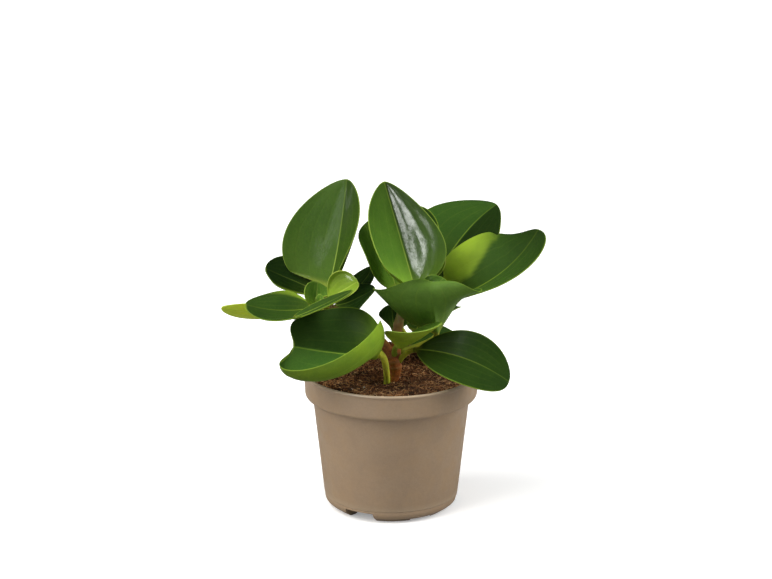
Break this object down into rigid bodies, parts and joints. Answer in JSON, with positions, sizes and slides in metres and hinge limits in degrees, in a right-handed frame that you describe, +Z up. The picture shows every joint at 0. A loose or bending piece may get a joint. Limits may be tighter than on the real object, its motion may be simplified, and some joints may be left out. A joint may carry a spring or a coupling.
{
  "type": "potted peperomia",
  "caption": "Potted peperomia: a bushy young plant with broad fleshy cupped leaves, standing in soil in a round plastic nursery pot with a deep collar and a notched foot.",
  "frame": {"origin": "middle of the pot's underside, on the ground that the pot stands on", "axes": "+Z up, -Y towards the front of the plant as pictured, +X to its right"},
  "size_m": [0.2204, 0.1531, 0.2255],
  "materials": {
    "pot": "taupe recycled plastic, satin, faintly mottled",
    "soil": "coarse brown peat and coir with light fibres",
    "stem": "red-brown fleshy stem, greener towards its tips",
    "leaf": "fleshy waxy leaf, deep green above, yellow-green below, with a pale rim",
    "young_leaf": "fleshy waxy young leaf, bright green with a pale rim"
  },
  "bodies": {
    "root": {"pot": "pot", "soil": "soil", "stems": "stem", "leaf_left_top": "leaf", "leaf_left_back": "leaf", "leaf_left_front": "leaf", "leaf_left_low": "leaf", "young_left_cup": "young_leaf", "young_left_bright": "young_leaf", "young_left_behind": "young_leaf", "leaf_left_inner": "leaf", "leaf_right_top": "leaf", "leaf_right_left": "leaf", "leaf_right_back": "leaf", "leaf_right_bright": "leaf", "leaf_right_long": "leaf", "leaf_right_front": "leaf", "young_right": "young_leaf", "leaf_middle_cup": "leaf", "leaf_middle_small": "leaf", "leaf_front_left": "leaf", "leaf_front_right": "leaf", "leaf_back_left": "leaf", "leaf_back_middle": "leaf", "leaf_back_right": "leaf", "leaf_back_top": "leaf"}
  },
  "joints": []
}
